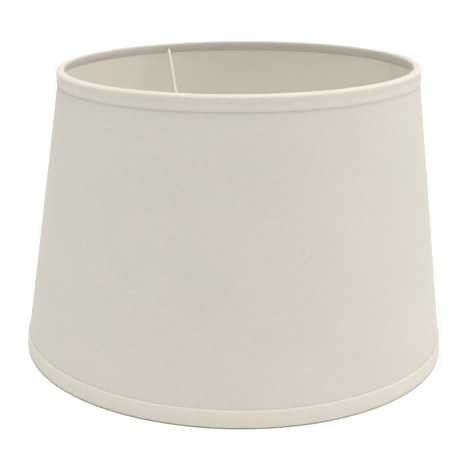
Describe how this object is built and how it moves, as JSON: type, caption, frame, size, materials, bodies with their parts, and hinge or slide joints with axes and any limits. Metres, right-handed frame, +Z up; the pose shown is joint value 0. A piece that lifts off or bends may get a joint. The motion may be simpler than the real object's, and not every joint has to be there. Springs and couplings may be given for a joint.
{
  "type": "lamp shade",
  "caption": "Tapered hardback lamp shade: ivory fabric over a white liner, folded trim at both edges, and a wire spider with a sunken fitter ring.",
  "frame": {"origin": "centre of the bottom edge, on the plane that the shade stands on", "axes": "+Z up along the shade's axis, towards the narrow end with the fitter; -Y is the front; the lapped seam is at the back right, 29 degrees from +X towards +Y"},
  "size_m": [0.3, 0.3, 0.199],
  "materials": {
    "cover_fabric": "fine plain-weave cotton, matt ivory, bonded flat to the liner",
    "trim_fabric": "the cover's cotton cut in a strip, folded over the ring, with turned hems",
    "liner_plastic": "satin off-white plastic sheet with a fine grain",
    "seam_tape": "thin translucent adhesive tape, hidden in the lap",
    "coated_wire": "warm white powder coat on steel, satin"
  },
  "bodies": {
    "root": {"fabric_cover": "cover_fabric", "liner_panel": "liner_plastic", "seam_tape": "seam_tape", "top_trim_tape": "trim_fabric", "bottom_trim_tape": "trim_fabric", "top_ring_wire": "coated_wire", "bottom_ring_wire": "coated_wire", "spider_arm_back_left": "coated_wire", "spider_arm_front_left": "coated_wire", "spider_arm_right": "coated_wire", "fitter_ring": "coated_wire"}
  },
  "joints": []
}
